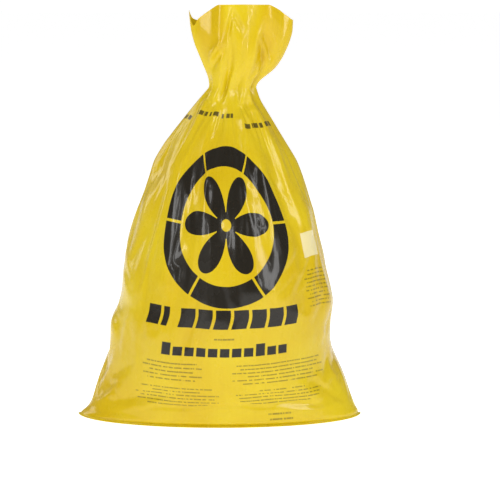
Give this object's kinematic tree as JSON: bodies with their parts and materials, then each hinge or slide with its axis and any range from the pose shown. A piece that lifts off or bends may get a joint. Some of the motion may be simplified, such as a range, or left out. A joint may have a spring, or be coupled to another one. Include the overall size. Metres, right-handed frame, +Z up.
{
  "type": "biohazard waste bag",
  "caption": "Filled film waste bag standing on its bottom seal, with a wide belly, a gathered pleated neck and a flared open tuft above it.",
  "frame": {"origin": "on the floor, midway between the two ears of the bottom seal", "axes": "+Z up through the neck, +X to the right of a viewer who faces the printed side, +Y away from that viewer"},
  "size_m": [0.556, 0.3452, 0.797],
  "materials": {
    "bag_film": "glossy, slightly translucent polyethylene film"
  },
  "bodies": {
    "root": {"waste_bag": "bag_film"}
  },
  "joints": []
}
